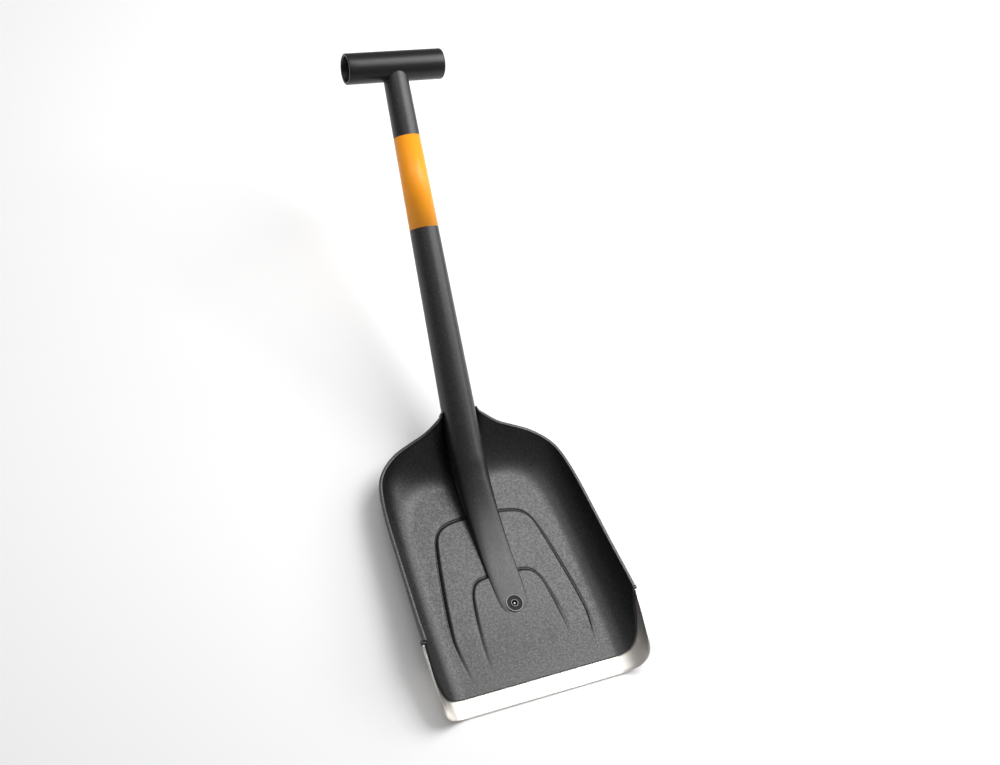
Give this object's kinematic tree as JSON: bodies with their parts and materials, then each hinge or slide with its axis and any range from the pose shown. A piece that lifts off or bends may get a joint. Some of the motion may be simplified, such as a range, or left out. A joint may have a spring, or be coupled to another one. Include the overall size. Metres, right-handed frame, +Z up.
{
  "type": "snow shovel",
  "caption": "Compact rigid snow shovel: black moulded scoop with an aluminium wear edge, tapered black shaft with an orange band, and a hollow T grip.",
  "frame": {"origin": "middle of the bounding box on the surface that the scoop lies on", "axes": "+X across the scoop and along the grip, +Y from the cutting edge to the grip, +Z up out of the scoop"},
  "size_m": [0.23, 0.6358, 0.233],
  "materials": {
    "scoop_plastic": "fine moulded grain",
    "edge_aluminium": "brushed, bare",
    "shaft_coat": "fine textured powder coat",
    "band_film": "satin printed film",
    "grip_plastic": "satin",
    "rivet_metal": "darkened steel",
    "stem_steel": "bright"
  },
  "bodies": {
    "root": {"blade": "scoop_plastic", "wear_edge": "edge_aluminium", "shaft": "shaft_coat", "band": "band_film", "t_grip": "grip_plastic", "grip_screw": "stem_steel", "blade_rivet": "rivet_metal", "blade_rivet_washer": "rivet_metal", "blade_rivet_mandrel": "stem_steel", "neck_rivet": "rivet_metal", "neck_rivet_mandrel": "stem_steel"}
  },
  "joints": []
}
